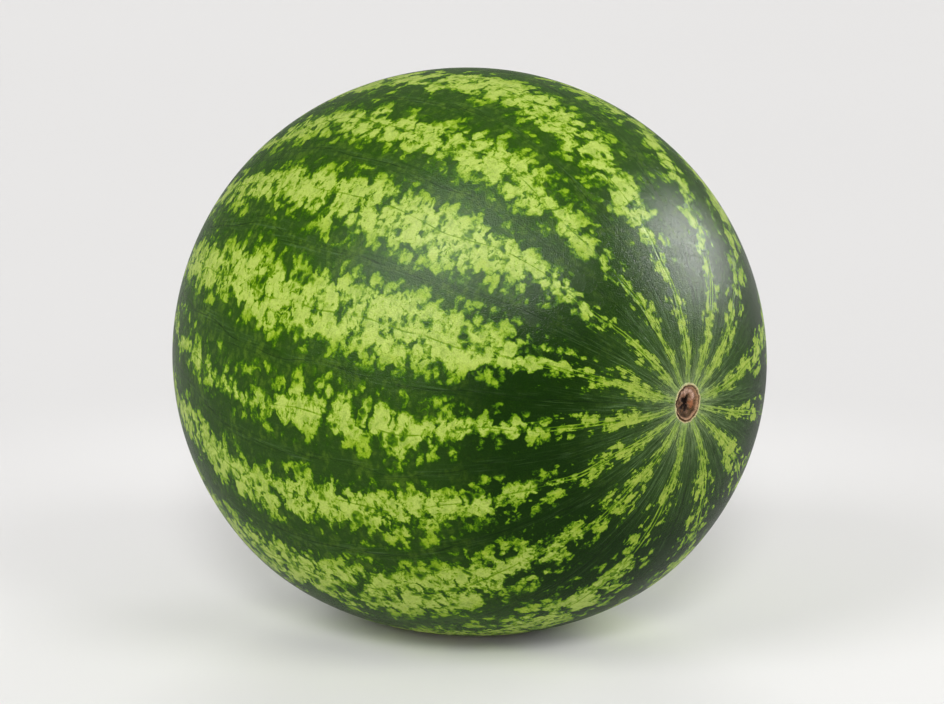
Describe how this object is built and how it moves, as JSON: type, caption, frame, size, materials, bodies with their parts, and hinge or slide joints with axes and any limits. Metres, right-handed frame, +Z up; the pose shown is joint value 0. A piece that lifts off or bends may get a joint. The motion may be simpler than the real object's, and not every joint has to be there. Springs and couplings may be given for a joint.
{
  "type": "watermelon",
  "caption": "Whole round striped watermelon, as picked, lying on a small flat spot, with a corky stem scar at one end and a small blossom scar at the other.",
  "frame": {"origin": "on the surface the fruit rests on, under the middle of its bounding box", "axes": "+Z up; +X along the long axis, towards the stem scar; +Y completes a right-handed frame, and the blossom scar lies towards -X, turned a little to -Y and +Z"},
  "size_m": [0.265, 0.2498, 0.2431],
  "materials": {
    "rind": "satin, thin natural wax on smooth rind; dark green with ragged light green stripes from end to end"
  },
  "bodies": {
    "root": {"watermelon": "rind"}
  },
  "joints": []
}
